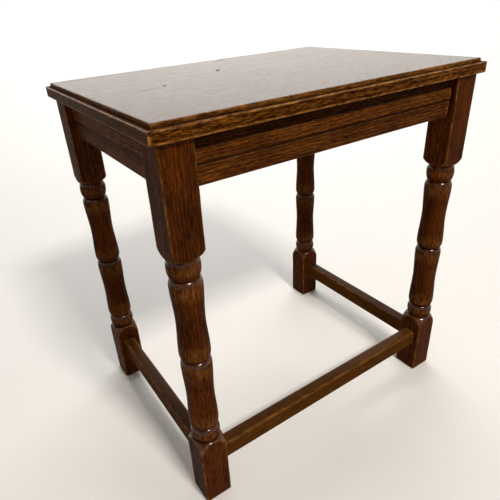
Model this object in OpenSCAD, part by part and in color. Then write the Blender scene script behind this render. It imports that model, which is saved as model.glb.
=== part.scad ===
// Outer table of a nest: moulded-edge top, square-and-turned legs, moulded rails
// and floor stretchers on three sides. The fourth long side is open, so that the
// smaller tables of the nest slide in under the top.
// X runs along the top, +Y points to the open side, +Z is up and the feet stand on z = 0.

/* [Top] */
// Height of the table over all
table_h = 480; // [420:1:580]
// Length of the top along X
top_l = 446; // [380:1:560]
// Depth of the top along Y
top_d = 324; // [280:1:400]
// Thickness of the top
top_t = 17.5; // [15:0.5:24]
// Width of each outer board of the glued-up top
outer_board_w = 104; // [80:1:125]
// Width of the ledge around the raised field
ledge_w = 5.5; // [2:0.5:8]
// Height of the raised field above the ledge
ledge_h = 4.5; // [2:0.5:7]
// Radius of the lower edge of the top
top_round_r = 1.5; // [0.5:0.5:3]
// Overhang of the top past the legs along X
overhang_x = 7.5; // [4:0.5:25]
// Overhang of the top past the legs along Y
overhang_y = 5.5; // [4:0.5:25]

/* [Legs] */
// Side of the square blocks of a leg
leg_w = 35.5; // [29:0.5:45]
// Eased corner of the square blocks
leg_arris = 0.8; // [0.3:0.1:2]
// Bevel around the foot of a leg
foot_bevel = 1.2; // [0.5:0.1:3]
// Height of the square part of the foot block
foot_block_h = 70; // [60:1:90]
// Height of the rounded shoulder above the foot block
foot_shoulder_h = 30.5; // [20:0.5:34]
// Height of the lower bead
low_bead_h = 19.5; // [12:0.5:26]
// Length of the lower hollow turning
low_hollow_l = 102; // [80:0.5:130]
// Height of the upper bead
high_bead_h = 23; // [12:0.5:28]
// Height of the rounded shoulder below the upper block
block_shoulder_h = 14.5; // [8:0.5:18]
// Length of the square part of the upper block
upper_block_h = 100; // [80:1:130]
// Greatest radius of the turned part
lobe_r = 17.7; // [14.2:0.1:17.7]
// Least radius of the upper hollow
high_waist_r = 15.9; // [12.5:0.1:17]
// Least radius of the lower hollow
low_waist_r = 16.2; // [12.5:0.1:17]
// Radius at the bottom of the turned grooves
groove_r = 13.6; // [11:0.1:14.1]
// Length of the rounded end of a hollow
hollow_end_l = 9; // [5:0.5:12]

/* [Rails] */
// Depth of the moulded rails
rail_h = 48.5; // [40:0.5:60]
// Thickness of the rails
rail_t = 18; // [15:0.5:19]
// Distance of the rail face behind the leg face
rail_setback = 8.5; // [3:0.5:9]
// Depth of the sloping top band of a rail
rail_slope_h = 14.5; // [10:0.5:18]
// Depth of the upper band of a rail
rail_band_h = 13; // [8:0.5:16]
// How far the sloping band leans in at the top
rail_lean = 3; // [1:0.5:5]
// Depth of the groove between the bands
rail_groove = 1.8; // [1:0.1:3]
// Width of the groove between the bands
rail_groove_w = 2.4; // [1.4:0.1:4]
// How far the lower band falls back at its foot
rail_fall = 1.8; // [0.5:0.1:3]
// Depth of the shallow rail over the open side
open_rail_h = 20; // [16:0.5:24]

/* [Stretchers] */
// Height of the stretchers' lower faces above the floor
stretcher_z = 46; // [20:1:48]
// Depth of the stretchers
stretcher_h = 26.5; // [20:0.5:29]
// Width of the stretchers
stretcher_w = 17.5; // [14:0.5:20]
// Rounding of the stretchers' upper edges
stretcher_round_r = 4; // [1:0.5:6]
// Bevel of the stretchers' lower edges
stretcher_bevel = 3; // [0.5:0.5:5]

/* [Joinery] */
// Diameter of the dowels
dowel_d = 8; // [6:0.5:9]
// Length of a dowel inside a rail or stretcher
dowel_l = 18; // [12:1:25]
// Wood left between two dowels that meet in a leg
dowel_web = 1; // [0.5:0.5:4]
// Height of the lower rail dowels above the rail's lower edge
dowel_low = 12; // [8:0.5:16]
// Spacing of the two dowels in a rail end
dowel_pitch = 22; // [14:0.5:24]
// Spacing of the two dowels in a stretcher end
stretcher_pitch = 11; // [10:0.5:14]
// Clearance around a dowel or screw
hole_clear = 0.05; // [0.02:0.01:0.2]
// Empty depth past the end of a dowel or screw
hole_end_gap = 1; // [0.5:0.5:3]
// Length of a corner block along a rail, past the leg
block_l = 34; // [26:1:45]
// Depth of the corner blocks
block_h = 19; // [14:0.5:20]
// Diameter of the screws that hold the top
screw_d = 4; // [3:0.5:5]
// Diameter of the screw heads
screw_head_d = 8; // [6:0.5:9]
// How far the screws reach into the top
screw_bite = 9; // [6:0.5:11]

/* [Hidden] */
$fn = 64;
arc_steps = 6;

top_color = [0.55, 0.42, 0.30];
leg_color = [0.33, 0.19, 0.10];
rail_color = [0.36, 0.21, 0.11];
stretcher_color = [0.28, 0.16, 0.10];
block_color = [0.62, 0.47, 0.30];
dowel_color = [0.80, 0.66, 0.45];
screw_color = [0.72, 0.62, 0.38];

leg_h = table_h - top_t;
leg_x = top_l / 2 - overhang_x - leg_w / 2;
leg_y = top_d / 2 - overhang_y - leg_w / 2;
span_x = 2 * leg_x - leg_w;
span_y = 2 * leg_y - leg_w;
rail_z = leg_h - rail_h;
rail_face_y = leg_y + leg_w / 2 - rail_setback;
rail_face_x = leg_x + leg_w / 2 - rail_setback;
rail_mid_y = rail_face_y - rail_t / 2;
rail_mid_x = rail_face_x - rail_t / 2;
rail_inner_y = rail_face_y - rail_t;
rail_inner_x = rail_face_x - rail_t;

// Heights of the turned parts of a leg, from the floor up
foot_neck_z = foot_block_h + foot_shoulder_h;
low_bead_z = foot_neck_z + low_bead_h;
low_hollow_z = low_bead_z + low_hollow_l;
shoulder_z = leg_h - upper_block_h;
high_neck_z = shoulder_z - block_shoulder_h;
high_hollow_z = high_neck_z - high_bead_h;
corner_r = leg_w * 0.5 * sqrt(2) + 1;

// Dowels from two sides meet in a leg, so each stops short of the other
rail_dowel_depth = leg_w - rail_setback - rail_t / 2 - dowel_d / 2 - dowel_web;
stretcher_dowel_depth = leg_w / 2 - dowel_d / 2 - dowel_web;
rail_dowel_z = [rail_z + dowel_low, rail_z + dowel_low + dowel_pitch];
open_dowel_z = [leg_h - open_rail_h / 2];
stretcher_mid_z = stretcher_z + stretcher_h / 2;
stretcher_dowel_z = [stretcher_mid_z - stretcher_pitch / 2, stretcher_mid_z + stretcher_pitch / 2];

// Corner blocks stand against two rails, notched around the leg
block_leg_x = leg_x - leg_w / 2;
block_leg_y = leg_y - leg_w / 2;
screw_x = block_leg_x - block_l / 4;
screw_y = block_leg_y - block_l / 4;
screw_low_z = leg_h - block_h;
screw_head_h = (screw_head_d - screw_d) / 2;

// ---- outlines --------------------------------------------------------------

// Quarter-ellipse from (r0, z0), where it lies flat, to (r1, z1), where it stands upright
function flat_to_upright(r0, z0, r1, z1) =
    [for (i = [0:arc_steps]) let (a = 90 * i / arc_steps)
        [r0 + (r1 - r0) * sin(a), z0 + (z1 - z0) * (1 - cos(a))]];

// The same curve, travelled from the upright end to the flat end
function upright_to_flat(r0, z0, r1, z1) =
    [for (i = [0:arc_steps]) let (a = 90 * i / arc_steps)
        [r1 + (r0 - r1) * cos(a), z0 + (z1 - z0) * sin(a)]];

// Half-ellipse bulge between two grooves
function bead(z0, z1) =
    concat(flat_to_upright(groove_r, z0, lobe_r, (z0 + z1) / 2),
           upright_to_flat(lobe_r, (z0 + z1) / 2, groove_r, z1));

// Cosine waist between two lobes of equal radius
function waist(z0, z1, waist_r) =
    [for (i = [1:2 * arc_steps - 1]) let (t = i / (2 * arc_steps))
        [lobe_r - (lobe_r - waist_r) * (1 - cos(360 * t)) / 2, z0 + (z1 - z0) * t]];

// Hollow turning with rounded ends between two grooves
function hollow(z0, z1, waist_r) =
    concat(flat_to_upright(groove_r, z0, lobe_r, z0 + hollow_end_l),
           waist(z0 + hollow_end_l, z1 - hollow_end_l, waist_r),
           upright_to_flat(lobe_r, z1 - hollow_end_l, groove_r, z1));

// Whole turning outline; wider than the square corners where the blocks stay square
leg_outline = concat(
    [[0, 0], [corner_r, 0]],
    upright_to_flat(corner_r, foot_block_h, groove_r, foot_neck_z),
    bead(foot_neck_z, low_bead_z),
    hollow(low_bead_z, low_hollow_z, low_waist_r),
    hollow(low_hollow_z, high_hollow_z, high_waist_r),
    bead(high_hollow_z, high_neck_z),
    flat_to_upright(groove_r, high_neck_z, corner_r, shoulder_z),
    [[corner_r, leg_h], [0, leg_h]]);

// Square outline with eased corners
module eased_square(side, ease) {
    h = side / 2;
    e = h - ease;
    polygon([[-e, -h], [e, -h], [h, -e], [h, e], [e, h], [-e, h], [-h, e], [-h, -e]]);
}

// Upright outline of a leg with a bevelled foot
module foot_outline() {
    h = leg_w / 2;
    b = foot_bevel;
    polygon([[-h + b, 0], [h - b, 0], [h, b], [h, leg_h], [-h, leg_h], [-h, b]]);
}

// Cross-section of a moulded rail: x is outward from the rail face, y is up from its lower edge
module rail_outline() {
    band_top = rail_h - rail_slope_h;
    band_low = band_top - rail_band_h;
    low_top = band_low - rail_groove_w;
    polygon([
        [-rail_t, 0],
        [-rail_fall, 0],
        [-rail_fall * 0.35, low_top * 0.45],
        [-rail_fall * 0.3, low_top],
        [-rail_groove, band_low - rail_groove_w / 2],
        [-0.3, band_low],
        [0, band_low + rail_band_h / 3],
        [0, band_top - rail_band_h / 3],
        [-0.4, band_top],
        [-rail_lean * 0.7, band_top + rail_slope_h * 0.3],
        [-rail_lean, rail_h],
        [-rail_t, rail_h]]);
}

// Cross-section of a stretcher: rounded above, bevelled below
module stretcher_outline() {
    h = stretcher_w / 2;
    r = stretcher_round_r;
    b = stretcher_bevel;
    polygon([[-h + b, 0], [h - b, 0], [h, b], [h, stretcher_h - r], [-h, stretcher_h - r], [-h, b]]);
    translate([-h + r, stretcher_h / 2])
        square([stretcher_w - 2 * r, stretcher_h / 2]);
    for (s = [-1, 1])
        translate([s * (h - r), stretcher_h - r])
            circle(r);
}

// Cross-section of the top without its ledge, with rounded lower edges
module slab_outline(w) {
    r = top_round_r;
    translate([-w / 2, r])
        square([w, top_t - r]);
    translate([-w / 2 + r, 0])
        square([w - 2 * r, r * 2]);
    for (s = [-1, 1])
        translate([s * (w / 2 - r), r])
            circle(r);
}

// ---- shared solids ---------------------------------------------------------

// A bar along Y whose outline's y axis is up; the outline's x axis points to +X
module along_y(length) {
    rotate([90, 0, 0])
        translate([0, 0, -length / 2])
            linear_extrude(length)
                children();
}

// Hole that runs along +X from x = -depth_in to x = depth_out
module cross_hole(depth_in, depth_out, d) {
    translate([-depth_in, 0, 0])
        rotate([0, 90, 0])
            cylinder(d = d, h = depth_in + depth_out);
}

// Dowels of a bar along X with its ends at x = +-span / 2
module dowel_set(span, heights, leg_depth, clear, end_gap) {
    for (s = [0, 1])
        mirror([s, 0, 0])
            for (z = heights)
                translate([span / 2, 0, z])
                    cross_hole(dowel_l + end_gap, leg_depth + end_gap, dowel_d + 2 * clear);
}

module rail_dowel_set(clear, end_gap) {
    translate([0, -rail_mid_y, 0])
        dowel_set(span_x, rail_dowel_z, rail_dowel_depth, clear, end_gap);
    translate([0, rail_mid_y, 0])
        dowel_set(span_x, open_dowel_z, rail_dowel_depth, clear, end_gap);
    for (s = [-1, 1])
        translate([s * rail_mid_x, 0, 0])
            rotate([0, 0, 90])
                dowel_set(span_y, rail_dowel_z, rail_dowel_depth, clear, end_gap);
}

module stretcher_dowel_set(clear, end_gap) {
    translate([0, -leg_y, 0])
        dowel_set(span_x, stretcher_dowel_z, stretcher_dowel_depth, clear, end_gap);
    for (s = [-1, 1])
        translate([s * leg_x, 0, 0])
            rotate([0, 0, 90])
                dowel_set(span_y, stretcher_dowel_z, stretcher_dowel_depth, clear, end_gap);
}

module dowel_holes() {
    rail_dowel_set(hole_clear, hole_end_gap);
    stretcher_dowel_set(hole_clear, hole_end_gap);
}

// One screw through a corner block into the top, head down
module screw_body(clear, end_gap) {
    cylinder(d = screw_d + 2 * clear, h = block_h + screw_bite + end_gap);
    cylinder(d1 = screw_head_d + 2 * clear, d2 = screw_d + 2 * clear, h = screw_head_h);
}

module at_screws() {
    for (sx = [-1, 1], sy = [-1, 1])
        translate([sx * screw_x, sy * screw_y, screw_low_z])
            children();
}

// The whole top before it is parted into boards
module slab() {
    intersection() {
        translate([0, 0, leg_h])
            along_y(top_d)
                slab_outline(top_l);
        translate([0, 0, leg_h])
            rotate([0, 0, 90])
                along_y(top_l)
                    slab_outline(top_d);
        union() {
            translate([-top_l / 2, -top_d / 2, leg_h])
                cube([top_l, top_d, top_t - ledge_h]);
            translate([-top_l / 2 + ledge_w, -top_d / 2 + ledge_w, leg_h])
                cube([top_l - 2 * ledge_w, top_d - 2 * ledge_w, top_t]);
        }
    }
}

// The strip of the top between two values of y
module top_board(y0, y1) {
    color(top_color)
        difference() {
            intersection() {
                slab();
                translate([-top_l, y0, leg_h - 1])
                    cube([2 * top_l, y1 - y0, top_t + 2]);
            }
            at_screws()
                screw_body(hole_clear, hole_end_gap);
        }
}

module leg(sx, sy) {
    color(leg_color)
        difference() {
            translate([sx * leg_x, sy * leg_y, 0])
                intersection() {
                    linear_extrude(leg_h)
                        eased_square(leg_w, leg_arris);
                    along_y(leg_w)
                        foot_outline();
                    rotate([0, 0, 90])
                        along_y(leg_w)
                            foot_outline();
                    rotate_extrude()
                        polygon(leg_outline);
                }
            dowel_holes();
        }
}

// A moulded rail along Y that faces +X with its outermost face at x = face
module rail_bar(face, length) {
    translate([face, 0, rail_z])
        along_y(length)
            rail_outline();
}

module stretcher_bar(length) {
    translate([0, 0, stretcher_z])
        along_y(length)
            stretcher_outline();
}

// Triangular block in the corner between two rails, notched around the leg
module corner_block(sx, sy) {
    color(block_color)
        difference() {
            mirror([sx < 0 ? 1 : 0, 0, 0])
                mirror([0, sy < 0 ? 1 : 0, 0])
                    translate([0, 0, leg_h - block_h])
                        linear_extrude(block_h)
                            polygon([
                                [block_leg_x, block_leg_y],
                                [block_leg_x, rail_inner_y],
                                [block_leg_x - block_l, rail_inner_y],
                                [rail_inner_x, block_leg_y - block_l],
                                [rail_inner_x, block_leg_y]]);
            at_screws()
                screw_body(hole_clear, hole_end_gap);
        }
}

// ---- sub-parts -------------------------------------------------------------

module top_board_closed_side() {
    top_board(-top_d / 2, -top_d / 2 + outer_board_w);
}

module top_board_middle() {
    top_board(-top_d / 2 + outer_board_w, top_d / 2 - outer_board_w);
}

module top_board_open_side() {
    top_board(top_d / 2 - outer_board_w, top_d / 2);
}

module leg_closed_left() {
    leg(-1, -1);
}

module leg_closed_right() {
    leg(1, -1);
}

module leg_open_left() {
    leg(-1, 1);
}

module leg_open_right() {
    leg(1, 1);
}

module rail_closed_side() {
    color(rail_color)
        difference() {
            rotate([0, 0, -90])
                rail_bar(rail_face_y, span_x);
            dowel_holes();
        }
}

module rail_left() {
    color(rail_color)
        difference() {
            rotate([0, 0, 180])
                rail_bar(rail_face_x, span_y);
            dowel_holes();
        }
}

module rail_right() {
    color(rail_color)
        difference() {
            rail_bar(rail_face_x, span_y);
            dowel_holes();
        }
}

module rail_open_side() {
    color(rail_color)
        difference() {
            translate([-span_x / 2, rail_inner_y, leg_h - open_rail_h])
                cube([span_x, rail_t, open_rail_h]);
            dowel_holes();
        }
}

module stretcher_closed_side() {
    color(stretcher_color)
        difference() {
            translate([0, -leg_y, 0])
                rotate([0, 0, 90])
                    stretcher_bar(span_x);
            dowel_holes();
        }
}

module stretcher_left() {
    color(stretcher_color)
        difference() {
            translate([-leg_x, 0, 0])
                stretcher_bar(span_y);
            dowel_holes();
        }
}

module stretcher_right() {
    color(stretcher_color)
        difference() {
            translate([leg_x, 0, 0])
                stretcher_bar(span_y);
            dowel_holes();
        }
}

module corner_block_closed_left() {
    corner_block(-1, -1);
}

module corner_block_closed_right() {
    corner_block(1, -1);
}

module corner_block_open_left() {
    corner_block(-1, 1);
}

module corner_block_open_right() {
    corner_block(1, 1);
}

module rail_dowels() {
    color(dowel_color)
        rail_dowel_set(0, 0);
}

module stretcher_dowels() {
    color(dowel_color)
        stretcher_dowel_set(0, 0);
}

module top_screws() {
    color(screw_color)
        at_screws()
            screw_body(0, 0);
}

top_board_closed_side();
top_board_middle();
top_board_open_side();
leg_closed_left();
leg_closed_right();
leg_open_left();
leg_open_right();
rail_closed_side();
rail_left();
rail_right();
rail_open_side();
stretcher_closed_side();
stretcher_left();
stretcher_right();
corner_block_closed_left();
corner_block_closed_right();
corner_block_open_left();
corner_block_open_right();
rail_dowels();
stretcher_dowels();
top_screws();
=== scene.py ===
"""Outer table of a nest in dark-stained oak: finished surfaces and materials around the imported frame."""

import math

import bpy
import numpy as np
from bpy.props import FloatProperty, FloatVectorProperty, PointerProperty
from mathutils import Matrix, Vector


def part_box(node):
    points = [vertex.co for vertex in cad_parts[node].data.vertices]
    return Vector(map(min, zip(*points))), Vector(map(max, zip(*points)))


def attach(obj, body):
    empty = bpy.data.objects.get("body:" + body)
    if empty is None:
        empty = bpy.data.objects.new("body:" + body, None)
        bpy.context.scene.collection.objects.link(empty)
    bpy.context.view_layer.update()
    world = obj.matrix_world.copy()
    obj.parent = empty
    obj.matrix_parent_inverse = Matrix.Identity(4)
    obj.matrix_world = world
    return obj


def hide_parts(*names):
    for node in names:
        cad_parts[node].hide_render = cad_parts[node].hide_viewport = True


bl_info = {
    "name": "Nest Table",
    "version": (1, 0, 0),
    "blender": (4, 5, 0),
    "location": "3D View > Sidebar > Nest Table",
    "description": "Builds the turned, moulded and varnished surfaces of a nesting table around its frame",
    "category": "Object",
}

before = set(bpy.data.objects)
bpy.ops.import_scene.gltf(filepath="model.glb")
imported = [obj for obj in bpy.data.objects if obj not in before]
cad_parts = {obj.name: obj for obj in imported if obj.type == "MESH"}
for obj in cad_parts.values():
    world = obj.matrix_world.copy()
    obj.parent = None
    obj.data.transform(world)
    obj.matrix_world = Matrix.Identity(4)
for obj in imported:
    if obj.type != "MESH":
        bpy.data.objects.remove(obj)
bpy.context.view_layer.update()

BODY = "root"
LEGS = ("leg_closed_left", "leg_closed_right", "leg_open_left", "leg_open_right")
SIDE_RAILS = ("rail_left", "rail_right")
STRETCHERS = {"stretcher_closed_side": "x", "stretcher_left": "y", "stretcher_right": "y"}
BOARDS = ("top_board_closed_side", "top_board_middle", "top_board_open_side")
BLOCKS = (
    "corner_block_closed_left",
    "corner_block_closed_right",
    "corner_block_open_left",
    "corner_block_open_right",
)
WORN = "worn"
POLISH = "polish"
# Per-vertex amount of painted shade in grooves, creases and under the top, partly grime
PAINTED_SHADE_AND_GRIME = "painted_shade_and_grime"
END_GRAIN = "end_grain"
CREASE = math.radians(38.0)
# Turn that lays a piece's own axis along X, where the grain patterns have their fibre
GRAIN_TURN = {"x": (0.0, 0.0, 0.0), "y": (0.0, 0.0, -math.pi / 2), "z": (0.0, math.pi / 2, 0.0)}
# Two places closer than this, in metres, are the same place
SAME_PLACE = 1e-5
WOOD_IOR = 1.50
WOOD_SHINE = 0.01
VARNISH_IOR = 1.52
# Height past which a mark through the top would fade
PILLAR_H = 1000.0


# ---- settings ---------------------------------------------------------------


def length(name, description, default):
    """A size in metres that a user may change."""
    limits = {"min": 0.0, "precision": 5, "unit": "LENGTH", "subtype": "DISTANCE"}
    return FloatProperty(name=name, description=description, default=default, **limits)


def angle(name, description, degrees):
    """An angle, given in degrees and kept in radians."""
    return FloatProperty(name=name, description=description, default=math.radians(degrees), subtype="ANGLE")


def strength(name, description, default, most):
    """A number from 0 up to a limit."""
    return FloatProperty(name=name, description=description, default=default, min=0.0, max=most)


def colour(name, description, default):
    """A linear RGB colour."""
    return FloatVectorProperty(
        name=name, description=description, default=default, size=3, subtype="COLOR", min=0.0, max=1.0
    )


class NestTableSizes(bpy.types.PropertyGroup):
    """Sizes of the mouldings and turnings. Overall places come from the frame."""

    ledge_w: length("Ledge width", "Width of the ledge around the raised field", 0.0055)
    ledge_h: length("Ledge drop", "Height of the raised field above the ledge", 0.0045)
    riser_run: length("Riser run", "How far the riser leans in", 0.0005)
    edge_ease: length("Edge ease", "Rounding of the upper edges of the top", 0.0008)
    lower_round: length("Lower rounding", "Rounding of the lower edge of the top", 0.0015)
    leg_arris: length("Leg arris", "Mean rounding of the corners of the square blocks", 0.0017)
    foot_bevel: length("Foot bevel", "Bevel around the foot", 0.0012)
    foot_block_h: length("Foot block", "Height of the square part of the foot block", 0.070)
    foot_shoulder_h: length("Foot shoulder", "Height of the shoulder above the foot block", 0.0305)
    low_bead_h: length("Lower bead", "Height of the lower bead", 0.0195)
    low_hollow_l: length("Lower hollow", "Length of the lower hollow turning", 0.102)
    high_bead_h: length("Upper bead", "Height of the upper bead", 0.023)
    block_shoulder_h: length("Block shoulder", "Height of the shoulder below the upper block", 0.0145)
    upper_block_h: length("Upper block", "Length of the square part of the upper block", 0.100)
    hollow_end_l: length("Hollow end", "Length of the rounded end of a hollow", 0.009)
    lobe_r: length("Lobe radius", "Greatest radius of the turned part", 0.0177)
    high_waist_r: length("Upper waist radius", "Least radius of the upper hollow", 0.0159)
    low_waist_r: length("Lower waist radius", "Least radius of the lower hollow", 0.0162)
    groove_r: length("Groove radius", "Radius at the bottom of the turned grooves", 0.0136)
    rail_slope_h: length("Rail slope", "Depth of the sloping top band of a rail", 0.0145)
    rail_band_h: length("Rail band", "Depth of the upper band of a rail", 0.013)
    rail_lean: length("Rail lean", "How far the sloping band leans in at the top", 0.003)
    rail_groove: length("Rail groove", "Depth of the groove between the bands", 0.0018)
    rail_groove_w: length("Rail groove width", "Width of the groove between the bands", 0.0024)
    rail_fall: length("Rail fall", "How far the lower band falls back at its foot", 0.0018)
    stretcher_round: length("Stretcher rounding", "Rounding of the stretchers' upper edges", 0.004)
    stretcher_bevel: length("Stretcher bevel", "Bevel of the stretchers' lower edges", 0.003)


class NestTableFinish(bpy.types.PropertyGroup):
    """Colours of the stain, the wood under it and the varnish."""

    top_dark: colour("Top, dark grain", "Dark figure of the top", (0.030, 0.0085, 0.0010))
    top_light: colour("Top, light grain", "Light figure of the top", (0.180, 0.062, 0.0080))
    leg_dark: colour("Leg, dark grain", "Dark figure of the legs", (0.016, 0.0037, 0.0005))
    leg_light: colour("Leg, light grain", "Light figure of the legs", (0.098, 0.0230, 0.0020))
    rail_dark: colour("Rail, dark grain", "Dark figure of the rails", (0.022, 0.0052, 0.0008))
    rail_light: colour("Rail, light grain", "Light figure of the rails", (0.150, 0.046, 0.0070))
    stretcher_dark: colour("Stretcher, dark grain", "Dark figure of the stretchers", (0.036, 0.0110, 0.0010))
    stretcher_light: colour("Stretcher, light grain", "Light figure of a stretcher", (0.088, 0.0300, 0.0030))
    worn: colour("Worn wood", "Where the stain has rubbed off an edge", (0.380, 0.165, 0.040))
    # Colour of the painted shade in grooves, creases and under the top, partly grime; also the colour of the
    # top's dark marks
    painted_shade_and_grime: colour("Grime", "Stain and polish gathered in grooves", (0.006, 0.0025, 0.0010))
    shine_tint: colour("Shine tint", "Tint that the stain gives to reflections", (1.0, 0.58, 0.24))
    block_dark: colour("Block, dark grain", "Dark figure of the corner blocks", (0.200, 0.110, 0.045))
    block_light: colour("Block, light grain", "Light figure of the corner blocks", (0.420, 0.270, 0.130))
    dowel_dark: colour("Dowel, dark grain", "Dark figure of the dowels", (0.360, 0.220, 0.110))
    dowel_light: colour("Dowel, light grain", "Light figure of the dowels", (0.560, 0.400, 0.220))
    brass: colour("Brass", "Dulled brass of the screws", (0.480, 0.330, 0.120))


class NestTableStage(bpy.types.PropertyGroup):
    """Floor, lights and camera."""

    floor_colour: colour("Floor", "Plain pale floor", (0.74, 0.72, 0.69))
    sky_colour: colour("Sky", "Even light from all sides", (0.90, 0.95, 1.0))
    sky_strength: strength("Sky strength", "Strength of the even light", 0.11, 5.0)
    key_power: strength("Key light", "Power of the key light in watts", 72.0, 500.0)
    side_power: strength("Side light", "Power of the side light in watts", 1.0, 500.0)
    back_power: strength("Wall light", "Power of the light on the far wall in watts", 124.0, 500.0)
    lens: FloatProperty(name="Lens", description="Focal length in millimetres", default=33.252, min=10.0)
    shift_x: FloatProperty(name="Shift X", description="Sideways framing shift", default=0.0253)
    shift_y: FloatProperty(name="Shift Y", description="Upward framing shift", default=-0.0030)
    camera_place: FloatVectorProperty(
        name="Camera place",
        description="Where the camera stands",
        default=(-0.3552, -0.4972, 0.5619),
        size=3,
        unit="LENGTH",
    )
    camera_yaw: angle("Camera yaw", "Turn from +Y towards +X", 31.568)
    camera_pitch: angle("Camera pitch", "Tilt above the horizon", -28.538)
    camera_roll: angle("Camera roll", "Roll about the view line", -3.967)


# ---- mesh helpers -----------------------------------------------------------


def unseen_wave(x, seed, pitch):
    """Smooth wander between -1 and 1: four sines whose pitches and phases are drawn from the seed."""
    rng = np.random.default_rng(seed)
    scales = 1.0 / (1.0 + 0.7 * np.arange(4))
    phases = rng.uniform(0.0, 2.0 * np.pi, 4)
    rates = (1.0 + 0.83 * np.arange(4)) * rng.uniform(0.85, 1.15, 4) * 2.0 * np.pi / pitch
    x = np.asarray(x, float)[..., None]
    return (np.sin(x * rates + phases) * scales).sum(-1) / scales.sum()


def signed_volume(points, quads, tris):
    """Volume inside closed faces, by the sum of a . (b x c) / 6 over triangles. It is negative where the
    faces point inwards."""
    every = np.concatenate([quads[:, [0, 1, 2]], quads[:, [0, 2, 3]], tris])
    a, b, c = (points[every[:, i]] for i in range(3))
    return (a * np.cross(b, c)).sum() / 6


def build_mesh(name, points, quads, tris=None, values=None, closed=True):
    """One mesh object from whole arrays, faces outward. values is a dict of numbers for every vertex, kept as
    attributes. Edges sharper than the crease angle are shaded as creases."""
    tris = np.zeros((0, 3), int) if tris is None else np.asarray(tris)
    quads = np.asarray(quads)
    if closed and signed_volume(np.asarray(points, float), quads, tris) < 0:
        quads, tris = quads[:, ::-1], tris[:, ::-1]
    mesh = bpy.data.meshes.new(name)
    loops = np.concatenate([quads.ravel(), tris.ravel()]).astype(np.int32)
    starts = np.concatenate([4 * np.arange(len(quads)), 4 * len(quads) + 3 * np.arange(len(tris))])
    mesh.vertices.add(len(points))
    mesh.vertices.foreach_set("co", np.asarray(points, np.float32).ravel())
    mesh.loops.add(len(loops))
    mesh.loops.foreach_set("vertex_index", loops)
    mesh.polygons.add(len(starts))
    mesh.polygons.foreach_set("loop_start", starts.astype(np.int32))
    mesh.update(calc_edges=True)
    mesh.polygons.foreach_set("use_smooth", np.full(len(starts), True))
    mesh.set_sharp_from_angle(angle=CREASE)
    for key, numbers in (values or {}).items():
        attribute = mesh.attributes.new(key, "FLOAT", "POINT")
        attribute.data.foreach_set("value", np.asarray(numbers, np.float32).ravel())
    if mesh.validate():
        raise RuntimeError(f"the mesh of {name} has faults")
    piece = bpy.data.objects.new(name, mesh)
    bpy.context.scene.collection.objects.link(piece)
    return piece


def ring_quads(rows, columns):
    """Quads of a grid of rows by columns whose columns close into a ring."""
    i, j = np.meshgrid(np.arange(rows - 1), np.arange(columns), indexing="ij")
    k = (j + 1) % columns
    corners = [i * columns + j, i * columns + k, (i + 1) * columns + k, (i + 1) * columns + j]
    return np.stack(corners, -1).reshape(-1, 4)


def fan_tris(ring, centre, flip):
    """Triangles from a ring of vertex numbers to a centre vertex."""
    after = np.roll(ring, -1)
    middle = np.full(len(ring), centre)
    order = [after, ring, middle] if flip else [ring, after, middle]
    return np.stack(order, -1)


def closed_tube(name, grid, values):
    """A closed piece from a grid of rows by ring points by 3: quads join the rings, and a fan closes each
    end."""
    rows, columns = grid.shape[:2]
    ends = [grid[0].mean(0), grid[-1].mean(0)]
    points = np.concatenate([grid.reshape(-1, 3), ends])
    first = rows * columns
    tris = np.concatenate(
        [
            fan_tris(np.arange(columns), first, True),
            fan_tris(np.arange(columns) + (rows - 1) * columns, first + 1, False),
        ]
    )
    held = {key: np.append(np.broadcast_to(v, (rows, columns)), [0.0, 0.0]) for key, v in values.items()}
    return build_mesh(name, points, ring_quads(rows, columns), tris, held)


def soft_corners(corners, radii, steps):
    """A polygon's closed outline with each corner replaced by a parabola, which touches the two sides at
    the corner's radius from it. Each corner gives as many points as there are steps."""
    corners = np.asarray(corners, float)
    radii = np.asarray(radii, float)[:, None]
    before = np.roll(corners, 1, 0) - corners
    after = np.roll(corners, -1, 0) - corners
    a = corners + before / np.linalg.norm(before, axis=1)[:, None] * radii
    b = corners + after / np.linalg.norm(after, axis=1)[:, None] * radii
    s = np.linspace(0.0, 1.0, steps)[None, :, None]
    curve = (1 - s) ** 2 * a[:, None] + 2 * s * (1 - s) * corners[:, None] + s**2 * b[:, None]
    return curve.reshape(-1, 2)


def near(distance, reach):
    """1 at no distance, falling off as a bell over the reach."""
    return np.exp(-((distance / reach) ** 2))


def carry(name, outline, values, along, place):
    """A bar: the closed outline carried along a list of distances. place(u, v, w) turns the outward, upward
    and lengthwise numbers into a point in the frame. The last millimetre or so of each end is worn."""
    end_reach, end_wear = 0.0014, 0.7
    w, u = np.meshgrid(along, outline[:, 0], indexing="ij")
    v = np.broadcast_to(outline[:, 1], w.shape)
    grid = np.stack(place(u, v, w), -1)
    held = {key: np.broadcast_to(numbers, w.shape) for key, numbers in values.items()}
    held[WORN] = np.maximum(held[WORN], end_wear * near(np.abs(w) - along.max(), end_reach))
    return closed_tube(name, grid, held)


def finish_piece(piece, material, slot, *nodes):
    """Gives a new piece its material and body, and hides the frame's solids that it stands for. slot is not
    used.
    """
    piece.data.materials.append(material)
    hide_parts(*nodes)
    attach(piece, BODY)


# ---- materials --------------------------------------------------------------


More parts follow.
